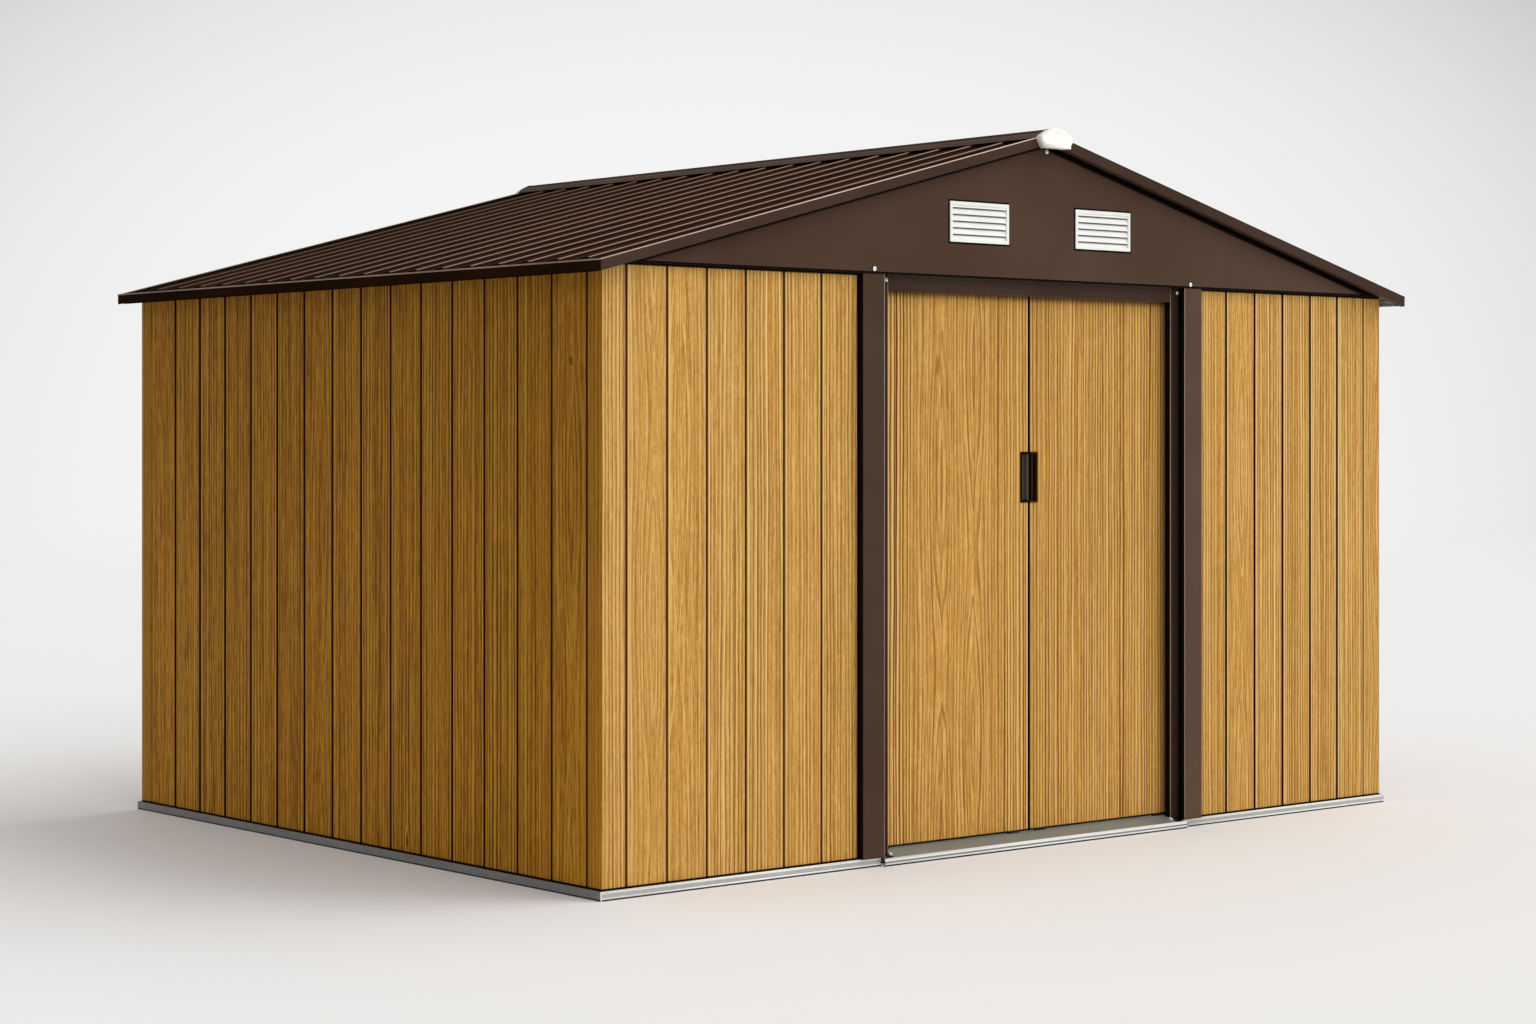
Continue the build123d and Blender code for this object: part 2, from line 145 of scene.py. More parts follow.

# Bands of paint, among them painted shadows and highlights: distances in metres at which each one starts and
# is full
foot_line = (0.006, 0.003)
crown_line = (0.008, 0.004)
flange_depth = (0.010, 0.020)
rake_line = (0.033, 0.026)
gable_foot_line = (0.0060, 0.0045)
vent_line = (0.006, 0.004)
crest_front = (-0.0110, -0.0082)
crest_back = (-0.0042, -0.0063)
rib_foot_front = (-0.040, -0.022)
rib_foot_back = (-0.0115, -0.0150)
eave_shade_band = (0.064, 0.054)
cap_top_shade_band = (0.006, 0.012)
lip_lower_edge = (-0.0065, -0.0050)
lip_upper_edge = (0.002, 0.001)
shelf_line = (-0.004, -0.002)
slat_depth = (0.0052, 0.0066)
pull_rim = (0.0115, 0.0095)
pull_lip = (0.0045, 0.0030)
pull_border = (0.0068, 0.0056)

# Strengths of the roof's painted highlight and shade bands
least_highlight = 0.26
rib_foot_shade_tone = 0.8
cap_top_shade_tone = 0.55

# Painted contact shadow at the ground, and the painted highlight on the foot above it, as shares of the line
contact_line = 0.004
contact_shadow_shares = (1.2, 0.8)
foot_highlight_shares = (2.2, 1.8)

# Facings at which one coating gives way to another: share of the normal along an axis
print_aside = (0.5, 0.8)
turned_aside = (0.6, 0.8)
turned_down = (-0.1, -0.3)
turned_in = (-0.4, -0.6)
turned_away = (-0.05, -0.2)

# Fine relief and clouds: bump height and cloud sizes in metres, strengths of bumps, grains in a metre
bump_height = 0.0003
print_bump = 0.3
skin_bump = 0.25
skin_grain = 420.0
spangle_grain = 140.0
cloud_size = 0.4
wide_cloud = 0.5
vent_cloud = 0.1
cloud_range = (0.35, 0.65)

# Zinc: features of its clouds in a metre along and up, share of the spangle in its tone, range of the tone
zinc_cloud_along = 5.0
zinc_cloud_up = 60.0
flake_share = 0.25
zinc_range = (0.25, 0.75)

# Roughness of the print and the zinc, and how far fine noise moves that of each coating
print_roughness = 0.46
print_gloss = 0.14
zinc_roughness = 0.38
zinc_gloss = 0.08
skin_gloss = 0.08

# Styles of the print: ring spacing and strength of the ring lines, streaks in a metre and their strength,
# half width of the groove's painted shade, gain of streaks and grooves toward the left end, strengths of the
# painted highlight rims right and left of the groove, rarity of arches and of knots
Style = namedtuple("Style", "ring lines streaks contrast groove gain rim left_rim arch_rarity knot_rarity")
front_style = Style(0.0124, 0.58, 210.0, 1.1, 0.0028, 0, 0.72, 0, 0.55, 1.0)
right_front_style = front_style._replace(groove=0.0045)
side_style = Style(0.0148, 0.68, 165.0, 1.75, 0.0042, 0.6, 0.38, 0.18, 0.55, 0.80)
door_style = Style(0.0118, 1.00, 240.0, 1.2, 0, 0, 1.0, 0, 0.75, 1.0)

# Rounded folds: sizes in metres, and limits in degrees for a fold, for flat faces and for smooth shading
fold_radius = 0.0025
plastic_radius = 0.0010
narrow_face = 0.004
weld_distance = 1e-6
fold_limit = 12
flat_limit = 0.5
smooth_limit = 35


def srgb(red, green, blue):
    """Linear colour of a screen colour written in steps of 0 to 255."""
    shares = [step / 255 for step in (red, green, blue)]
    linear = [s / 12.92 if s <= 0.04045 else ((s + 0.055) / 1.055) ** 2.4 for s in shares]
    return (*linear, 1.0)


class Number:
    """A value worked out by shader nodes, with ordinary arithmetic."""

    def __init__(self, graph, socket):
        self.graph = graph
        self.socket = socket

    def __add__(self, other):
        return self.graph.math("ADD", self, other)

    def __sub__(self, other):
        return self.graph.math("SUBTRACT", self, other)

    def __rsub__(self, other):
        return self.graph.math("SUBTRACT", other, self)

    def __mul__(self, other):
        return self.graph.math("MULTIPLY", self, other)

    def __truediv__(self, other):
        return self.graph.math("DIVIDE", self, other)

    __radd__ = __add__
    __rmul__ = __mul__


class Graph:
    """Node graph of one material or world, with the few operations that the finishes need."""

    def __init__(self, name, world=None):
        self.material = world or bpy.data.materials.new(name)
        self.material.use_nodes = True
        self.tree = self.material.node_tree
        self.surface = self.tree.nodes["Background" if world else "Principled BSDF"]
        self.output = self.tree.nodes["World Output" if world else "Material Output"]

    def feed(self, socket, value):
        """Link a worked-out value to a socket, or set a plain one on it."""
        if isinstance(value, Number):
            self.tree.links.new(value.socket, socket)
        else:
            socket.default_value = value

    def add(self, kind, inputs, output=0, **settings):
        """New node with its inputs fed by name or index. Returns one of its outputs."""
        node = self.tree.nodes.new(kind)
        for key, value in settings.items():
            setattr(node, key, value)
        for key, value in inputs.items():
            self.feed(node.inputs[key], value)
        return Number(self, node.outputs[output])

    def set(self, **values):
        """Feed the main shader's sockets, with underscores for spaces in their names."""
        for key, value in values.items():
            self.feed(self.surface.inputs[key.replace("_", " ")], value)
        return self.material

    def math(self, operation, *values):
        return self.add("ShaderNodeMath", dict(enumerate(values)), operation=operation)

    def axes(self, vector):
        """X, Y and Z of a vector."""
        parts = self.add("ShaderNodeSeparateXYZ", {0: vector})
        return [Number(self, socket) for socket in parts.socket.node.outputs]

    def position(self):
        return self.axes(self.add("ShaderNodeTexCoord", {}, "Object"))

    def normal(self):
        return self.axes(self.add("ShaderNodeNewGeometry", {}, "True Normal"))

    def noise(self, x, y, z, detail=2.0, roughness=0.5):
        """Smooth noise from 0 to 1 at a place given by three values."""
        place = self.add("ShaderNodeCombineXYZ", {0: x, 1: y, 2: z})
        inputs = {"Vector": place, "Scale": 1.0, "Detail": detail, "Roughness": roughness}
        return self.add("ShaderNodeTexNoise", inputs)

    def chance(self, number):
        """Three even random values for each whole number."""
        noise = self.add("ShaderNodeTexWhiteNoise", {"W": number}, "Color", noise_dimensions="1D")
        return self.axes(noise)

    def smooth(self, value, low, high):
        """0 below low, 1 above high, with a soft step between. High may be the lower one."""
        inputs = {"Value": value, "From Min": low, "From Max": high}
        return self.add("ShaderNodeMapRange", inputs, interpolation_type="SMOOTHSTEP")

    def mix(self, factor, first, second, blend="MIX"):
        """Blend of two colours."""
        inputs = {0: factor, 6: first, 7: second}
        return self.add("ShaderNodeMix", inputs, 2, data_type="RGBA", blend_type=blend)

    def ramp(self, value, stops):
        """Colour that runs through stops of (place, colour)."""
        ramp = self.add("ShaderNodeValToRGB", {0: value})
        elements = ramp.socket.node.color_ramp.elements
        while len(elements) < len(stops):
            elements.new(1.0)
        for element, (place, colour) in zip(elements, stops):
            element.position = place
            element.color = colour
        return ramp

    def bump(self, height, distance, strength=1.0):
        inputs = {"Height": height, "Distance": distance, "Strength": strength}
        self.feed(self.surface.inputs["Normal"], self.add("ShaderNodeBump", inputs))


def reach(node, direction):
    """Least and greatest distance of a node's box along a direction."""
    corners = itertools.product(*zip(*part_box(node)))
    spans = [Vector(corner).dot(Vector(direction)) for corner in corners]
    return min(spans), max(spans)


# Directions to the right along each wall, seen from outside, and out of it
right_of = {"front": (1, 0, 0), "right": (0, 1, 0), "rear": (-1, 0, 0), "left": (0, -1, 0)}
out_of = {"front": (0, -1, 0), "right": (1, 0, 0), "rear": (0, 1, 0), "left": (-1, 0, 0)}

# Colours of the wood print, with painted highlight rims, tints by height that are painted shade on the side
# walls, and painted groove shade
wood_stops = [(0.0, srgb(164, 112, 42)), (0.5, srgb(206, 155, 77)), (1.0, srgb(239, 192, 114))]
wood_dark = srgb(92, 54, 8)
wood_knot = srgb(104, 60, 20)
wood_light = srgb(246, 210, 138)
rim_highlight_paint = srgb(255, 220, 168)
# Red of the grain's red lines, also painted as shade beside the grooves
wood_red = srgb(150, 78, 36)
# Tints by height: the side walls' are painted shade, darkest at the head; the front walls' is a little
# darker at the foot
front_tint_head = srgb(253, 253, 254)
front_tint_foot = srgb(243, 241, 236)
side_shade_head = srgb(187, 166, 94)
side_shade_foot = srgb(219, 196, 111)
door_tint = srgb(244, 240, 232)
groove_shade_paint = srgb(50, 13, 0)

# Colours of the other coatings, with a light and a dark tone for what drifts between two
backing_coat = srgb(176, 172, 162)
shadow_paint = srgb(14, 9, 7)
# Painted highlight on the channels' lips and feet and on the eave trims' inner side
lip_highlight = srgb(252, 252, 250)
# Painted shade on the sill's ends
shaded_end = srgb(72, 70, 64)
# Painted shade on the jambs' flanges set back from the face
flange_shade_paint = srgb(50, 33, 28)
# Painted shade where the vents' slats run back
slat_shade = srgb(132, 130, 126)
# Painted highlight on the roof ribs' crests, and painted shade at their foot
rib_crest_highlight = srgb(180, 147, 130)
rib_foot_shade = srgb(24, 15, 11)
# Lit and shaded copies of one paint, as painted light: the left jamb shaded, the right one lit
shaded_left_jamb_tones = srgb(75, 57, 43), srgb(69, 51, 38)
lit_right_jamb_tones = srgb(92, 71, 58), srgb(86, 66, 53)
# Lit and shaded copies of one paint for the gables, as painted light: darker toward lesser x, lighter toward
# greater x
shaded_gable_tones = srgb(80, 60, 49), srgb(74, 55, 44)
lit_gable_tones = srgb(90, 70, 58), srgb(84, 65, 53)
roof_tones = srgb(57, 39, 29), srgb(50, 34, 25)
cap_tones = srgb(100, 83, 74), srgb(92, 76, 67)
# Shaded copy of the trim paint for the eave fascias, as painted shade
shaded_fascia_tones = srgb(38, 23, 12), srgb(33, 20, 10)
louvre_tones = srgb(250, 250, 247), srgb(244, 244, 240)
zinc_tones = srgb(186, 186, 183), srgb(168, 168, 165)
# Shaded copies of the zinc, as painted shade: on the side channels and on the sill
shaded_side_zinc_tones = srgb(134, 133, 131), srgb(120, 119, 117)
shaded_sill_zinc_tones = srgb(138, 141, 135), srgb(125, 128, 122)
# The pulls' cups: olive as if lit on the left one, black as shade on the right one
lit_pull_olive = srgb(104, 98, 78)
shaded_pull_black = srgb(3, 2, 2)


class WoodPrint:
    """Printed wood grain on the boards of a sheet: along runs to the right as seen from outside."""

    def __init__(self, node, along, outward, boards, seed, style):
        graph = Graph(f"{node}_print")
        low, high = reach(node, along)
        self.graph = graph
        self.outward = outward
        self.seed = seed
        self.style = style
        self.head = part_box(node)[1].z
        self.x, y, self.z = graph.position()
        self.width = high - low
        self.pitch = self.width / boards
        self.across = self.x * along[0] + y * along[1] - low
        self.board = graph.math("FLOOR", self.across / self.pitch)
        self.from_left = self.across - self.board * self.pitch
        self.shift = self.board * board_draw + seed
        self.gain = (1.0 - self.across / self.width) * style.gain + 1.0
        draw = self.board + seed
        self.centre_chance, self.arch_chance, self.tone_chance = graph.chance(draw)
        self.start_chance, self.knot_chance, self.level_chance = graph.chance(draw + second_draw)
        self.fibre = self.stray()
        self.from_heart = self.fibre - (self.centre_chance - 0.5) * (self.pitch * heart_share)

    def grain(self, place, layer):
        """One layer of the grain, drawn anew on each board."""
        row = self.shift + layer.draw
        return self.graph.noise(place * layer.across, row, self.z * layer.up, layer.detail, layer.roughness)

    def streak(self, layer):
        """Streaks of one layer, as close together as the style says."""
        return self.grain(self.fibre, layer._replace(across=self.style.streaks)) - 0.5

    def stray(self):
        """Distance from a board's middle, along fibres that stray a little from the vertical."""
        middle = self.from_left - self.pitch / 2
        wander = self.grain(middle, wander_grain) - 0.5
        ripple = self.grain(middle, ripple_grain) - 0.5
        return middle + wander * fibre_wander + ripple * fibre_ripple

    def knots(self):
        """A small knot on some of the boards. Returns its strength and the bend of the fibres round it."""
        graph = self.graph
        knot_x = self.from_heart / knot_width
        knot_z = (self.z - self.level_chance * self.head) / knot_height
        distance = knot_x * knot_x + knot_z * knot_z
        rarity = self.style.knot_rarity
        knotted = graph.smooth(self.knot_chance, rarity, rarity + knot_choice)
        swerve = graph.math("EXPONENT", distance * -knot_fall) * knotted * knot_swerve
        return graph.smooth(distance, *knot_edge) * knotted, swerve

    def rings(self, swerve):
        """Growth rings: upright lines that close in pointed arches on a few boards.

        Returns the strengths of the dark lines, of the light ones beside them and of a red cast.
        """
        graph, style = self.graph, self.style
        offset = graph.math("ABSOLUTE", self.from_heart)
        turn = (self.z / arch_length + self.start_chance) * math.tau
        arched = graph.smooth(self.arch_chance, style.arch_rarity, style.arch_rarity + arch_choice)
        rise = arched * arch_rise
        lift = (graph.math("SINE", turn) + 1.0) * rise
        bend = graph.math("EXPONENT", offset * (-1.0 / arch_width))
        steep = 1.0 - lift * bend / arch_width
        climb = graph.math("COSINE", turn) * rise * bend * (math.tau / arch_length)
        slope = graph.math("SQRT", steep * steep + climb * climb)

        uneven = self.grain(self.fibre, ring_grain) * ring_stray
        count = (offset + lift * bend - swerve + uneven) / style.ring
        number = graph.math("FLOOR", count)
        from_line = count - number - dark_line_share
        line = graph.math("ABSOLUTE", from_line) / slope
        edge = graph.math("ABSOLUTE", from_line - slope * light_step_share) / slope
        dark_chance, light_chance, red_chance = graph.chance(number + self.board * ring_draw + self.seed)

        faded = graph.smooth(self.grain(self.fibre, fade_grain), *fade_range)
        fade = (faded * line_fade + (1 - line_fade)) * (1.0 - arched * arch_fade)
        weight = (dark_chance * line_spread + (1 - line_spread)) * fade
        dark = graph.smooth(line, *dark_edge_shares) * weight * style.lines
        light = graph.smooth(edge, *light_edge_shares) * light_chance * fade
        red = dark * graph.smooth(red_chance, *red_choice)
        return dark, light, red

    def streaks(self):
        """Fine grain, and the tone that it makes with long, middling and short streaks under the rings."""
        fine = self.grain(self.fibre, fine_grain)
        streaks = self.streak(long_streak) + self.streak(middling_streak)
        streaks = (streaks + self.streak(short_streak) * short_streak_tone) * self.gain * self.style.contrast
        broad = (self.grain(self.fibre, broad_grain) - 0.5) * broad_tone
        board = (self.tone_chance - 0.5) * board_tone
        return fine, (fine - 0.5) * fine_tone + streaks + broad + board + 0.5

    def grooved(self, colour, sideways):
        """Boards with painted shade in the grooves, painted highlight rims and red painted shade beside
        them, a tint by height that is painted shade on the side walls, and painted shadow lines at foot and
        head.
        """
        graph, style = self.graph, self.style
        from_right = self.pitch - self.from_left
        half_groove = self.gain * style.groove
        # Painted highlights: bright rims beside each groove
        rim_end = half_groove + rim_width
        rim = graph.smooth(self.from_left, rim_end, rim_end - rim_edge)
        left_rim = graph.smooth(from_right, rim_end, rim_end - rim_edge)
        colour = graph.mix(rim * style.rim + left_rim * style.left_rim, colour, rim_highlight_paint)
        # Painted shade in red where a board's edge falls away into the groove
        edge_shade = graph.smooth(from_right, half_groove + edge_shade_width, half_groove)
        colour = graph.mix(edge_shade * (edge_shade_tone - style.left_rim), colour, wood_red)

        # Tint by height: painted shade on the side walls, darkest at the head; a little darker at the foot
        # on the front walls
        height = self.z / self.head
        front_tint = graph.mix(height, front_tint_foot, front_tint_head)
        side_shade = graph.mix(height, side_shade_foot, side_shade_head)
        colour = graph.mix(1.0, colour, graph.mix(sideways, front_tint, side_shade), "MULTIPLY")

        # Painted shade in the grooves
        seam = graph.math("MINIMUM", self.from_left, from_right)
        groove = graph.smooth(seam, half_groove + groove_edge, half_groove - groove_edge)
        colour = graph.mix(groove, colour, groove_shade_paint)
        # Painted shadow lines at the wall's foot above the rail and at its head
        foot = graph.smooth(self.z - rail_height, *foot_line)
        crown = graph.smooth(self.head - self.z, *crown_line)
        return graph.mix(graph.math("MAXIMUM", foot, crown), colour, shadow_paint)

    def flat(self, colour, sideways):
        """A door's flat sheet, with a painted highlight rim, painted shade in the seams at its edges and on
        its returns, and painted shade by the jamb and header.
        """
        graph = self.graph
        colour = graph.mix(1.0, colour, door_tint, "MULTIPLY")
        to_right = self.width - self.across
        # Painted highlight rim at the right edge
        rim_end = door_seam + door_rim_width
        rim = graph.smooth(to_right, rim_end, rim_end - rim_edge)
        colour = graph.mix(rim * self.style.rim, colour, rim_highlight_paint)
        # Painted shade in the seams at the edges and on the returns
        from_edge = graph.math("MINIMUM", self.across, to_right)
        seam = graph.smooth(from_edge, door_seam + seam_edge, door_seam - seam_edge)
        colour = graph.mix(seam, colour, groove_shade_paint)
        colour = graph.mix(sideways, colour, groove_shade_paint)
        beside_jamb = graph.smooth(self.x, doorway_half - jamb_shade, doorway_half)
        colour = graph.mix(beside_jamb * jamb_shade_tone, colour, wood_dark)
        below_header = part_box("door_header")[0].z - self.z
        shade = graph.smooth(below_header, *header_shade)
        return graph.mix(shade * header_shade_tone, colour, groove_shade_paint)

    def material(self):
        """The finished material, with a pale backing coat inside."""
        graph = self.graph
        knot, swerve = self.knots()
        dark, light, red = self.rings(swerve)
        fine, tone = self.streaks()
        colour = graph.ramp(tone, wood_stops)
        colour = graph.mix(dark, colour, wood_dark)
        colour = graph.mix(red * red_line, colour, wood_red)
        colour = graph.mix(light * light_line, colour, wood_light)
        colour = graph.mix(knot * knot_tone, colour, wood_knot)

        nx, ny, _ = graph.normal()
        sideways = graph.smooth(graph.math("ABSOLUTE", nx), *print_aside)
        colour = self.grooved(colour, sideways) if self.style.groove else self.flat(colour, sideways)
        facings = [nx * side[0] + ny * side[1] for side in self.outward]
        facing = graph.math("MAXIMUM", facings[0], facings[-1])
        colour = graph.mix(graph.smooth(facing, *turned_away), colour, backing_coat)
        graph.bump(tone - dark, bump_height, print_bump)
        gloss = fine * print_gloss + print_roughness
        return graph.set(Base_Color=colour, Roughness=gloss, Specular_IOR_Level=0.05)


def satin(graph, colour, roughness, specular):
    """Finish a coating with a fine orange-peel skin."""
    x, y, z = graph.position()
    skin = graph.noise(x * skin_grain, y * skin_grain, z * skin_grain)
    graph.bump(skin, bump_height, skin_bump)
    gloss = (skin - 0.5) * skin_gloss + roughness
    return graph.set(Base_Color=colour, Roughness=gloss, Specular_IOR_Level=specular)


def clouded(graph, tones, size):
    """Colour that drifts a little between a light and a dark tone, in clouds of a given size in metres."""
    light, dark = tones
    x, y, z = graph.position()
    clouds = graph.noise(x / size, y / size, z / size, detail=3.0, roughness=0.55)
    return graph.mix(graph.smooth(clouds, *cloud_range), dark, light)


def coating(name, light, dark, roughness, specular):
    """Satin paint or moulded plastic in one colour."""
    graph = Graph(name)
    return satin(graph, clouded(graph, (light, dark), cloud_size), roughness, specular)


def jamb_paint(name, node, tones):
    """Brown paint with painted shade: near black on the returns and darker on the flange set back from the
    face.
    """
    graph = Graph(name)
    colour = clouded(graph, tones, cloud_size)
    # Painted shade on the flange set back from the face, and near black on the returns
    depth = graph.position()[1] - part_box(node)[0].y
    colour = graph.mix(graph.smooth(depth, *flange_depth), colour, flange_shade_paint)
    sideways = graph.math("ABSOLUTE", graph.normal()[0])
    colour = graph.mix(graph.smooth(sideways, *turned_aside), colour, shadow_paint)
    return satin(graph, colour, roughness=0.45, specular=0.08)


def gable_paint(name, node, vents):
    """Brown paint, lighter toward greater x as painted light, with painted shadow lines under the rake
    trims, at the lower edge and round the vents.
    """
    graph = Graph(name)
    x, _, z = graph.position()
    low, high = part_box(node)
    # Painted light: the gable lighter toward greater x
    lit_share = graph.smooth(x, low.x, high.x)
    tones = [clouded(graph, side, wide_cloud) for side in (shaded_gable_tones, lit_gable_tones)]
    colour = graph.mix(lit_share, *tones)
    from_middle = graph.math("ABSOLUTE", x)
    # Painted shadow lines under the rake trims, at the lower edge and round the vents
    under_rake = graph.smooth(high.z - z - from_middle * roof_slope, *rake_line)
    lower_edge = graph.smooth(z - low.z, *gable_foot_line)
    vent_low, vent_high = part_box(vents)
    beside = graph.math("ABSOLUTE", from_middle - (vent_high.x - vent_width / 2)) - vent_width / 2
    above = graph.math("ABSOLUTE", z - (vent_low.z + vent_high.z) / 2) - (vent_high.z - vent_low.z) / 2
    round_vents = graph.smooth(graph.math("MAXIMUM", beside, above), *vent_line)
    line = graph.math("MAXIMUM", graph.math("MAXIMUM", under_rake, lower_edge), round_vents)
    return satin(graph, graph.mix(line, colour, shadow_paint), roughness=0.48, specular=0.02)


def ribbed_paint(name, node):
    """Brown roof coating with painted highlights on the ribs' crests, painted shade before them and at the
    eave, and a pale coat below.
    """
    graph = Graph(name)
    x, y, _ = graph.position()
    low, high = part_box(node)
    # Painted highlight on each rib's crest, fading toward the rear, and painted shade at its foot
    from_rib = (graph.math("FRACT", y / rib_pitch) - 0.5) * rib_pitch
    crest = graph.smooth(from_rib, *crest_front) * graph.smooth(from_rib, *crest_back)
    foot = graph.smooth(from_rib, *rib_foot_front) * graph.smooth(from_rib, *rib_foot_back)
    highlight_falloff = graph.smooth(y, high.y, low.y) * (1 - least_highlight) + least_highlight
    # Painted shade at the eave
    to_eave = max(abs(low.x), abs(high.x)) - graph.math("ABSOLUTE", x)
    colour = clouded(graph, roof_tones, wide_cloud)
    colour = graph.mix(foot * rib_foot_shade_tone, colour, rib_foot_shade)
    colour = graph.mix(crest * highlight_falloff, colour, rib_crest_highlight)
    colour = graph.mix(graph.smooth(to_eave, *eave_shade_band), colour, shadow_paint)
    downward = graph.smooth(graph.normal()[2], *turned_down)
    return satin(graph, graph.mix(downward, colour, backing_coat), roughness=0.55, specular=0.0)


def ridge_paint(name):
    """Brown paint with painted shade on the ridge cap's top, which is darker than its shoulders."""
    graph = Graph(name)
    from_middle = graph.math("ABSOLUTE", graph.position()[0])
    # Painted shade on the cap's top
    top = graph.smooth(cap_shoulder - from_middle, *cap_top_shade_band)
    colour = graph.mix(top * cap_top_shade_tone, clouded(graph, cap_tones, cloud_size), shadow_paint)
    return satin(graph, colour, roughness=0.5, specular=0.0)


def fascia_paint(name):
    """Brown paint darkened as painted shade, with the pale coat on the side turned to the wall painted near
    white as a highlight.
    """
    graph = Graph(name)
    # Inner side painted near white as a highlight
    outward = graph.math("SIGN", graph.position()[0]) * graph.normal()[0]
    inner = graph.smooth(outward, *turned_in)
    colour = graph.mix(inner, clouded(graph, shaded_fascia_tones, cloud_size), lip_highlight)
    return satin(graph, colour, roughness=0.5, specular=0.0)


def zinc_coat(graph, tones):
    """Zinc coating with a faint spangle. Returns its colour and its roughness."""
    light, dark = tones
    x, y, z = graph.position()
    place = graph.add("ShaderNodeCombineXYZ", {0: x, 1: y, 2: z})
    spangle = graph.add("ShaderNodeTexVoronoi", {"Vector": place, "Scale": spangle_grain}, "Color")
    flake, other, _ = graph.axes(spangle)
    along = x * zinc_cloud_along, y * zinc_cloud_along
    clouds = graph.noise(*along, z * zinc_cloud_up, detail=3.0, roughness=0.55)
    tone = graph.smooth(flake * flake_share + clouds * (1 - flake_share), *zinc_range)
    return graph.mix(tone, dark, light), other * zinc_gloss + zinc_roughness


def zinc_finish(graph, colour, gloss):
    return graph.set(Base_Color=colour, Metallic=0.25, Roughness=gloss, Specular_IOR_Level=0.3)


def base_zinc(name, tones, lip=None, ends=None):
    """Zinc on a base channel, with a painted contact shadow at the ground. It may have painted highlights on
    its lip and foot, and ends painted dark as shade.
    """
    graph = Graph(name)
    colour, gloss = zinc_coat(graph, tones)
    z = graph.position()[2]
    # Painted highlights on the lip and on the foot above the ground
    if lip:
        upper = graph.smooth(z - lip, *lip_lower_edge) * graph.smooth(z - lip, *lip_upper_edge)
        lower = graph.smooth(z / contact_line, *foot_highlight_shares)
        colour = graph.mix(graph.math("MAXIMUM", upper, lower), colour, lip_highlight)
    # Painted contact shadow at the ground
    colour = graph.mix(graph.smooth(z / contact_line, *contact_shadow_shares), colour, shadow_paint)
    # Ends painted dark as shade
    if ends:
        sideways = graph.math("ABSOLUTE", graph.normal()[0])
        colour = graph.mix(graph.smooth(sideways, *turned_aside), colour, ends)
    return zinc_finish(graph, colour, gloss)


def shelf_zinc(name, tones, wall):
    """Zinc on the wall-top rails, with painted shadow on the shelves that stand out under the gables."""
    graph = Graph(name)
    colour, gloss = zinc_coat(graph, tones)
    depth = graph.math("ABSOLUTE", graph.position()[1])
    wall_face = reach(wall, out_of["front"])[1]
    # Painted shadow on the shelves outside the walls' faces
    colour = graph.mix(graph.smooth(depth - wall_face, *shelf_line), colour, shadow_paint)
    return zinc_finish(graph, colour, gloss)


def pull_plastic(name, node, lip, cup, rim, border):
    """Moulding in bands from the doors' meeting edge outward, with the border round three sides, in colours
    that carry painted light and shade.
    """
    graph = Graph(name)
    x, _, z = graph.position()
    low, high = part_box(node)
    from_outer = x - low.x if low.x < 0 else high.x - x
    from_inner = high.x - low.x - from_outer
    from_end = graph.math("MINIMUM", z - low.z, high.z - z)
    colour = graph.mix(graph.smooth(from_outer, *pull_rim), cup, rim)
    colour = graph.mix(graph.smooth(from_inner, *pull_lip), colour, lip)
    framed = graph.smooth(graph.math("MINIMUM", from_outer, from_end), *pull_border)
    colour = graph.mix(framed, colour, border)
    return satin(graph, colour, roughness=0.5, specular=0.02)


def louvre_plastic(name, node, outward):
    """White plastic with painted shade where the slats run back into the vent."""
    graph = Graph(name)
    colour = clouded(graph, louvre_tones, vent_cloud)
    depth = reach(node, outward)[1] - graph.position()[1] * outward[1]
    # Painted shade where the slats run back
    colour = graph.mix(graph.smooth(depth, *slat_depth), colour, slat_shade)
    return satin(graph, colour, roughness=0.45, specular=0.25)


# Plain coatings: light tone, dark tone, roughness and specular level
trim_paint = coating("brown_trim_paint", srgb(70, 52, 42), srgb(63, 46, 37), 0.45, 0.05)
header_paint = coating("header_paint", srgb(69, 52, 43), srgb(63, 47, 38), 0.48, 0.05)
# Painted highlights: colours of the hems and the sill's curls, lighter than the parts they lie on
zinc_highlight = coating("zinc_highlight", srgb(244, 244, 241), srgb(236, 236, 233), 0.35, 0.4)
rake_highlight = coating("rake_highlight_paint", srgb(232, 205, 182), srgb(216, 188, 166), 0.4, 0.2)
eave_highlight = coating("eave_highlight_paint", srgb(150, 124, 110), srgb(134, 110, 97), 0.45, 0.15)
jamb_highlight = coating("jamb_highlight_paint", srgb(174, 149, 135), srgb(162, 138, 124), 0.45, 0.1)
faint_highlight = coating("faint_trim_highlight", srgb(92, 72, 60), srgb(84, 65, 54), 0.45, 0.05)
cream = coating("cream_moulding", srgb(252, 250, 240), srgb(247, 243, 230), 0.5, 0.25)
nylon = coating("nylon_glide", srgb(40, 40, 40), srgb(32, 32, 32), 0.5, 0.2)
screw_steel = coating("screw_steel", srgb(255, 255, 255), srgb(250, 250, 250), 0.6, 0.2)
# Painted shade: dark bars in the screws' cross recesses, and washers dark as a shadow round each head
screw_shade = coating("screw_shade", srgb(30, 28, 26), srgb(24, 22, 20), 0.6, 0.1)

zinc = base_zinc("zinc_coating", zinc_tones, rail_height)
shaded_side_zinc = base_zinc("shaded_side_zinc", shaded_side_zinc_tones)


def wall_finish(node, side, boards, seed, style):
    return WoodPrint(node, right_of[side], [out_of[side]], boards, seed, style).material()


def door_finish(node, seed):
    return wall_finish(node, "front", door_strips, seed, door_style)


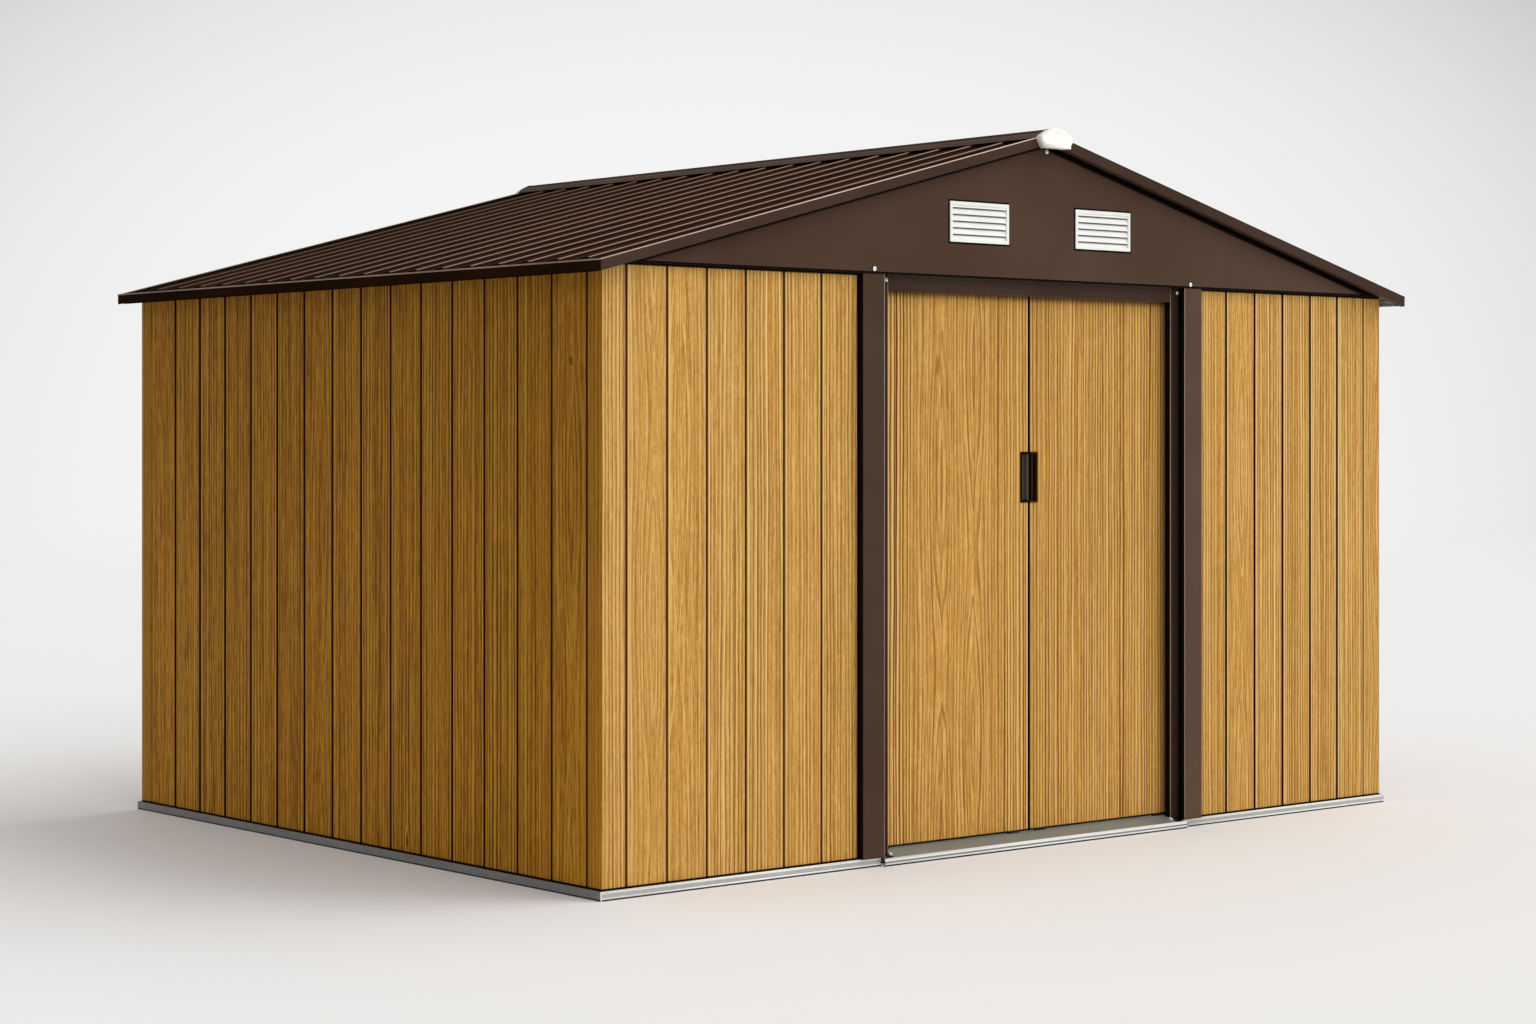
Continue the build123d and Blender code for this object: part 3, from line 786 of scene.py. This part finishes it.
def corner_finish(node, first, second, seed):
    """Print that runs round a corner from its left-hand wall to its right-hand one."""
    along = Vector(right_of[first]) + Vector(right_of[second])
    outward = [out_of[first], out_of[second]]
    return WoodPrint(node, along, outward, 1, seed, front_style).material()


finishes = {
    "front_left_wall": wall_finish("front_left_wall", "front", front_boards, 3.0, front_style),
    "front_right_wall": wall_finish("front_right_wall", "front", front_boards, 41.0, right_front_style),
    "left_wall": wall_finish("left_wall", "left", side_boards, 67.0, side_style),
    "right_wall": wall_finish("right_wall", "right", side_boards, 97.0, side_style),
    "rear_wall": wall_finish("rear_wall", "rear", rear_boards, 131.0, front_style),
    "left_door_panel": door_finish("left_door_panel", 171.0),
    "right_door_panel": door_finish("right_door_panel", 193.0),
    "front_left_corner": corner_finish("front_left_corner", "left", "front", 211.0),
    "front_right_corner": corner_finish("front_right_corner", "front", "right", 223.0),
    "rear_right_corner": corner_finish("rear_right_corner", "right", "rear", 227.0),
    "rear_left_corner": corner_finish("rear_left_corner", "rear", "left", 229.0),
    # The jambs in a shaded and a lit copy of one paint, as painted light
    "left_jamb": jamb_paint("left_jamb_paint", "left_jamb", shaded_left_jamb_tones),
    "right_jamb": jamb_paint("right_jamb_paint", "right_jamb", lit_right_jamb_tones),
    "front_gable": gable_paint("front_gable_paint", "front_gable", "front_vents"),
    "rear_gable": gable_paint("rear_gable_paint", "rear_gable", "rear_vents"),
    # Mirrored pulls painted as lit and shaded copies: the left cup olive as if lit, the right one black as
    # shade
    "left_door_pull": pull_plastic(
        "left_pull_plastic", "left_door_pull", srgb(48, 44, 36), lit_pull_olive, lit_pull_olive, srgb(20, 8, 4)),
    "right_door_pull": pull_plastic(
        "right_pull_plastic", "right_door_pull", shaded_pull_black, shaded_pull_black, srgb(84, 70, 58), srgb(57, 32, 6)),
    "front_vents": louvre_plastic("front_louvre_plastic", "front_vents", out_of["front"]),
    "rear_vents": louvre_plastic("rear_louvre_plastic", "rear_vents", out_of["rear"]),
    "ridge_cap": ridge_paint("ridge_paint"),
    "door_header": header_paint,
    # Sill and side channels in shaded copies of the zinc, as painted shade
    "door_sill": base_zinc("sill_zinc", shaded_sill_zinc_tones, sill_front, shaded_end),
    "left_base_rail": shaded_side_zinc,
    "right_base_rail": shaded_side_zinc,
    "wall_top_rails": shelf_zinc("wall_top_zinc", zinc_tones, "front_left_wall"),
}
kinds = {
    "roof_sheet": ribbed_paint("ribbed_roof_paint", "left_roof_sheet"),
    # Eave trims in a shaded copy of the trim paint, as painted shade
    "eave_trim": fascia_paint("eave_paint"),
    "rake_trim": trim_paint,
    "ridge_end": cream,
    "glides": nylon,
}


def finish_of(node):
    """Finish of a node: its own, one for its kind, or bare zinc-coated steel."""
    if node in finishes:
        return finishes[node]
    for kind, material in kinds.items():
        if node.endswith(kind):
            return material
    return zinc


def face_width(face, edge):
    """Extent of a face square to one of its edges."""
    line = (edge.verts[1].co - edge.verts[0].co).normalized()
    side = line.cross(face.normal)
    spans = [vert.co.dot(side) for vert in face.verts]
    return max(spans) - min(spans)


def rounds_off(edge):
    """Whether an edge is an outer fold between two faces wide enough to be rounded."""
    if len(edge.link_faces) != 2 or not edge.is_convex:
        return False
    if edge.calc_face_angle(0) < math.radians(fold_limit):
        return False
    return all(face_width(face, edge) > narrow_face for face in edge.link_faces)


def soften(node, radius):
    """Copy of a folded sheet with its outer folds rounded, in place of the sharp one."""
    mesh = frame["nodes"][node].data.copy()
    form = bmesh.new()
    form.from_mesh(mesh)
    bmesh.ops.remove_doubles(form, verts=form.verts, dist=weld_distance)
    bmesh.ops.dissolve_limit(form, angle_limit=math.radians(flat_limit), verts=form.verts, edges=form.edges)
    folds = [edge for edge in form.edges if rounds_off(edge)]
    made = bmesh.ops.bevel(form, geom=folds, offset=radius, segments=3, profile=0.5, affect="EDGES")
    for face in form.faces:
        face.smooth = False
    for face in made["faces"]:
        face.smooth = True
    form.to_mesh(mesh)
    form.free()
    return link(f"{node}_folded", mesh)


def smoothed(node):
    """Copy of a moulding with its curved faces shaded smooth."""
    mesh = frame["nodes"][node].data.copy()
    form = bmesh.new()
    form.from_mesh(mesh)
    bmesh.ops.remove_doubles(form, verts=form.verts, dist=weld_distance)
    for face in form.faces:
        face.smooth = True
    form.to_mesh(mesh)
    form.free()
    mesh.set_sharp_from_angle(angle=math.radians(smooth_limit))
    return link(f"{node}_moulded", mesh)


def link(name, mesh):
    """New object in the scene for a mesh."""
    piece = bpy.data.objects.new(name, mesh)
    bpy.context.scene.collection.objects.link(piece)
    return piece


def dress(piece, material):
    piece.data.materials.clear()
    piece.data.materials.append(material)


slot_of = {
    "wall": "wood_print_steel",
    "corner": "wood_print_steel",
    "door_panel": "door_wood_print",
    "roof_sheet": "brown_roof",
    "ridge_cap": "brown_roof",
    "trim": "brown_trim",
    "jamb": "brown_trim",
    "header": "brown_trim",
    "rail": "galvanised_steel",
    "sill": "galvanised_steel",
    "vents": "white_louvre_plastic",
    "ridge_end": "cream_plastic",
}
body_of = {node: body for body, nodes in frame["record"]["behaviour"]["bodies"].items() for node in nodes}


def replace(piece, node):
    """Let a dressed copy stand for a solid."""
    dress(piece, finish_of(node))
    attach(piece, body_of[node])
    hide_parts(node)


for node, part in frame["nodes"].items():
    dress(part, finish_of(node))
    slot = next((slot for kind, slot in slot_of.items() if node.endswith(kind)), None)
    if slot == "cream_plastic":
        replace(smoothed(node), node)
    elif slot == "white_louvre_plastic":
        replace(soften(node, plastic_radius), node)
    elif slot:
        replace(soften(node, fold_radius), node)


def add_piece(name, form, material, body="shed"):
    """Finish a small added piece from its working mesh."""
    mesh = bpy.data.meshes.new(name)
    form.to_mesh(mesh)
    form.free()
    piece = link(name, mesh)
    dress(piece, material)
    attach(piece, body)
    return piece


def add_beads(name, runs, radius, material, body="shed"):
    """Thin rolled hems: one straight round bead for each pair of points."""
    form = bmesh.new()
    for start, end in runs:
        line = Vector(end) - Vector(start)
        turn = line.to_track_quat("Z", "Y").to_matrix().to_4x4()
        place = Matrix.Translation((Vector(start) + Vector(end)) / 2) @ turn
        bmesh.ops.create_cone(
            form, cap_ends=True, segments=8, radius1=radius, radius2=radius, depth=line.length, matrix=place)
    for face in form.faces:
        face.smooth = len(face.verts) == 4
    return add_piece(name, form, material, body)


def rake_run(node, front):
    """Upper outer edge of a rake trim, from the eave to the ridge."""
    low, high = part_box(node)
    eave_x, ridge_x = (low.x, high.x) if abs(low.x) > abs(high.x) else (high.x, low.x)
    y = low.y if front else high.y
    return (eave_x, y, high.z - roof_slope * abs(eave_x)), (ridge_x, y, high.z)


def eave_run(node):
    """Upper outer edge of an eave trim."""
    low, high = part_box(node)
    x = low.x if low.x < 0 else high.x
    z = high.z - roof_slope * (high.x - low.x)
    return (x, low.y, z), (x, high.y, z)


def rail_runs(node, side):
    """Upper and lower edges of a base channel's outer face."""
    low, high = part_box(node)
    y = low.y if side == "front" else high.y
    return [((low.x, y, z), (high.x, y, z)) for z in (high.z - hem_radius, hem_radius + contact_line)]


def upright_run(node, x, y):
    """Vertical edge of a node at a place in plan."""
    low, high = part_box(node)
    return (x, y, low.z), (x, y, high.z)


# Rolled hems, and the curls at the sill's ends between two places along y, painted lighter than their parts
# as highlights
hem_radius = 0.0020
fine_radius = 0.0012
curl_radius = 0.004
curl_front = -1.160
curl_rear = -1.148

# Rake hems painted as highlights, bright on the left rakes and faint on the right ones; the eave hems
# lighter too
for side, hem_paint in (("left", rake_highlight), ("right", faint_highlight)):
    runs = [rake_run(f"{end}_{side}_rake_trim", end == "front") for end in ("front", "rear")]
    add_beads(f"{side}_rake_hems", runs, fine_radius, hem_paint)
eave_runs = [eave_run(f"{side}_eave_trim") for side in ("left", "right")]
add_beads("eave_hems", eave_runs, hem_radius, eave_highlight)

# Hems on the front and rear channels and the sill, painted bright as highlights
rails = {"rear_base_rail": "rear", "front_left_base_rail": "front", "front_right_base_rail": "front"}
rail_hems = [run for node, side in rails.items() for run in rail_runs(node, side)]
left_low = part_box("front_left_base_rail")[0]
right_low, right_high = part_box("front_right_base_rail")
rail_hems.append(upright_run("front_left_base_rail", left_low.x, left_low.y))
rail_hems.append(upright_run("front_right_base_rail", right_low.x, right_low.y))
rail_hems.append(upright_run("front_right_base_rail", right_high.x, right_low.y))
sill_low, sill_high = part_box("door_sill")
for level in (sill_front, hem_radius + contact_line):
    rail_hems.append(((sill_low.x, sill_low.y, level), (sill_high.x, sill_low.y, level)))
add_beads("base_hems", rail_hems, hem_radius, zinc_highlight)

# Curl at each end of the sill's ramp, beside the jambs, painted bright as a highlight
ramp_slope = (sill_high.z - sill_front) / (sill_high.y - sill_low.y)
curls = []
for x in (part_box("left_jamb")[1].x + curl_radius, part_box("right_jamb")[0].x - curl_radius):
    ends = [(x, y, sill_front + (y - sill_low.y) * ramp_slope) for y in (curl_front, curl_rear)]
    curls.append(ends)
add_beads("sill_curls", curls, curl_radius, zinc_highlight)

left_jamb_low, left_jamb_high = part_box("left_jamb")
right_jamb_low, right_jamb_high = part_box("right_jamb")
header_low, header_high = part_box("door_header")
# Jamb and header hems painted lighter as highlights
jamb_hems = [
    upright_run("left_jamb", left_jamb_low.x + jamb_face, left_jamb_low.y),
    upright_run("left_jamb", left_jamb_high.x, left_jamb_low.y + jamb_step),
    upright_run("right_jamb", right_jamb_high.x - jamb_face, right_jamb_low.y),
    upright_run("right_jamb", right_jamb_low.x, right_jamb_low.y + jamb_step),
]
add_beads("jamb_hems", jamb_hems, fine_radius, jamb_highlight)
header_hem = (header_low.x, header_low.y, header_low.z), (header_high.x, header_low.y, header_low.z)
add_beads("header_hem", [header_hem], fine_radius, faint_highlight)

# Screws: places along x and z, and sizes of heads, sealing washers and cross recesses
flange_screws = [(-0.5575, 1.542), (0.580, 1.542)]
gable_screws = [(-0.623, 1.568), (0.608, 1.566), (0.018, 1.913)]
small_head = 0.0052
sealed_head = 0.0064
head_flatness = 0.45
head_lift = 0.0010
washer_foot = 0.0095
washer_top = 0.0090
washer_height = 0.0010
recess_lift = 0.0036
recess_size = (0.0040, 0.0009, 0.0008)
recess_turns = (45, 135)


def screw_places():
    """Centres of the screws, with the direction that they face and whether they have a washer."""
    gable_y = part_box("front_gable")[0].y
    rear_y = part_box("rear_gable")[1].y
    flange_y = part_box("left_jamb")[0].y + jamb_step
    places = [((x, flange_y, z), -1, False) for x, z in flange_screws]
    for x, z in gable_screws:
        places += [((x, gable_y, z), -1, True), ((-x, rear_y, z), 1, True)]
    return places


def add_screws():
    """Pan-head screws with a cross recess of dark bars painted as its shade, on sealing washers at the
    gables painted dark as a shadow round each head.
    """
    washers = bmesh.new()
    heads = bmesh.new()
    recesses = bmesh.new()
    for place, toward, sealed in screw_places():
        base = Matrix.Translation(place) @ Matrix.Rotation(math.radians(90) * -toward, 4, "X")
        if sealed:
            washer = base @ Matrix.Translation((0, 0, washer_height / 2))
            bmesh.ops.create_cone(
                washers, cap_ends=True, segments=24, radius1=washer_foot, radius2=washer_top,
                depth=washer_height, matrix=washer)
        dome = base @ Matrix.Translation((0, 0, head_lift)) @ Matrix.Diagonal((1, 1, head_flatness, 1))
        radius = sealed_head if sealed else small_head
        bmesh.ops.create_uvsphere(heads, u_segments=20, v_segments=10, radius=radius, matrix=dome)
        for turn in recess_turns:
            spun = Matrix.Translation((0, 0, recess_lift)) @ Matrix.Rotation(math.radians(turn), 4, "Z")
            bmesh.ops.create_cube(recesses, size=1, matrix=base @ spun @ Matrix.Diagonal((*recess_size, 1)))
    for face in heads.faces:
        face.smooth = True
    add_piece("screw_washers", washers, screw_shade)
    add_piece("screw_heads", heads, screw_steel)
    add_piece("screw_recesses", recesses, screw_shade)


add_screws()


def add_camera():
    """Camera at the photograph's place: level, with its frame shifted to the horizon's row."""
    data = bpy.data.cameras.new("photo_camera")
    data.sensor_width = sensor_width
    data.lens = focal_pixels * sensor_width / photo_width
    data.shift_y = (horizon_row - photo_height / 2) / photo_width
    camera = bpy.data.objects.new("photo_camera", data)
    camera.location = camera_place
    camera.rotation_euler = (math.radians(90), 0, math.radians(camera_heading))
    bpy.context.scene.collection.objects.link(camera)
    bpy.context.scene.camera = camera


def add_sun(name, toward, spread, strength):
    """Even light from one side of the studio, softened by its spread in degrees."""
    data = bpy.data.lights.new(name, "SUN")
    data.angle = math.radians(spread)
    data.energy = strength
    lamp = bpy.data.objects.new(name, data)
    lamp.rotation_euler = Vector(toward).to_track_quat("Z", "Y").to_euler()
    bpy.context.scene.collection.objects.link(lamp)


def add_world():
    """Pale studio surround: brightest behind the shed, seen at its own colour, and weaker as a light."""
    world = bpy.data.worlds.new("studio")
    bpy.context.scene.world = world
    graph = Graph("studio", world)
    graph.set(Color=(1, 1, 1, 1), Strength=fill_level)
    x, y, z = graph.axes(graph.add("ShaderNodeTexCoord", {}, "Generated"))
    heading = math.radians(camera_heading)
    aside = x * math.cos(heading) + y * math.sin(heading) - backdrop_middle[0]
    above = graph.math("MAXIMUM", z - backdrop_middle[1], 0.0)
    aside = graph.math("MINIMUM", aside * aside, backdrop_reach[0])
    above = graph.math("MINIMUM", above * above, backdrop_reach[1])
    shade = aside * aside * shade_aside + above * above * shade_above + aside * above * shade_corner
    seen = graph.add("ShaderNodeBackground", {"Color": graph.mix(shade, backdrop_light, backdrop_dark)})
    path = graph.tree.nodes.new("ShaderNodeLightPath")
    rays = [Number(graph, path.outputs[f"Is {kind} Ray"]) for kind in ("Camera", "Glossy", "Transmission")]
    visible = graph.math("MAXIMUM", graph.math("MAXIMUM", rays[0], rays[1]), rays[2])
    light = Number(graph, graph.surface.outputs[0])
    graph.feed(graph.output.inputs[0], graph.add("ShaderNodeMixShader", {0: visible, 1: light, 2: seen}))


def add_floor():
    """Round pale floor that fades into the backdrop far from the shed."""
    mesh = bpy.data.meshes.new("studio_floor")
    form = bmesh.new()
    bmesh.ops.create_circle(form, cap_ends=True, segments=96, radius=floor_radius)
    form.to_mesh(mesh)
    form.free()
    floor = bpy.data.objects.new("studio_floor", mesh)
    bpy.context.scene.collection.objects.link(floor)
    graph = Graph("studio_floor")
    x, y, _ = graph.position()
    distance = graph.math("SQRT", x * x + y * y)
    fade = graph.smooth(distance, floor_fade_start, floor_fade_end)
    graph.set(Base_Color=floor_colour, Roughness=0.7, Specular_IOR_Level=0.1)
    clear = graph.tree.nodes.new("ShaderNodeBsdfTransparent")
    blend = graph.tree.nodes.new("ShaderNodeMixShader")
    graph.feed(blend.inputs[0], fade)
    graph.tree.links.new(graph.surface.outputs[0], blend.inputs[1])
    graph.tree.links.new(clear.outputs[0], blend.inputs[2])
    graph.tree.links.new(blend.outputs[0], graph.output.inputs[0])
    dress(floor, graph.material)


# Studio: level of the surround's light, backdrop and floor
fill_level = 0.25
backdrop_light = srgb(246, 246, 246)
backdrop_dark = srgb(182, 182, 182)
backdrop_middle = (-0.014, -0.021)
backdrop_reach = (0.10, 0.03)
shade_aside = 52.0
shade_above = 240.0
shade_corner = 155.0
floor_colour = srgb(238, 237, 236)
floor_radius = 60.0
floor_fade_start = 9.0
floor_fade_end = 30.0

# Lamps: direction toward each, spread in degrees and strength
lamps = {
    "key_light": ((0.60, -0.20, 0.775), 50, 1.20),
    "front_light": ((0.25, -0.85, 0.46), 70, 1.05),
    "top_light": ((0.05, -0.10, 1.0), 140, 0.95),
}

add_camera()
add_world()
add_floor()
for lamp_name, (toward, spread, strength) in lamps.items():
    add_sun(lamp_name, toward, spread, strength)
bpy.context.scene.view_settings.view_transform = "Standard"
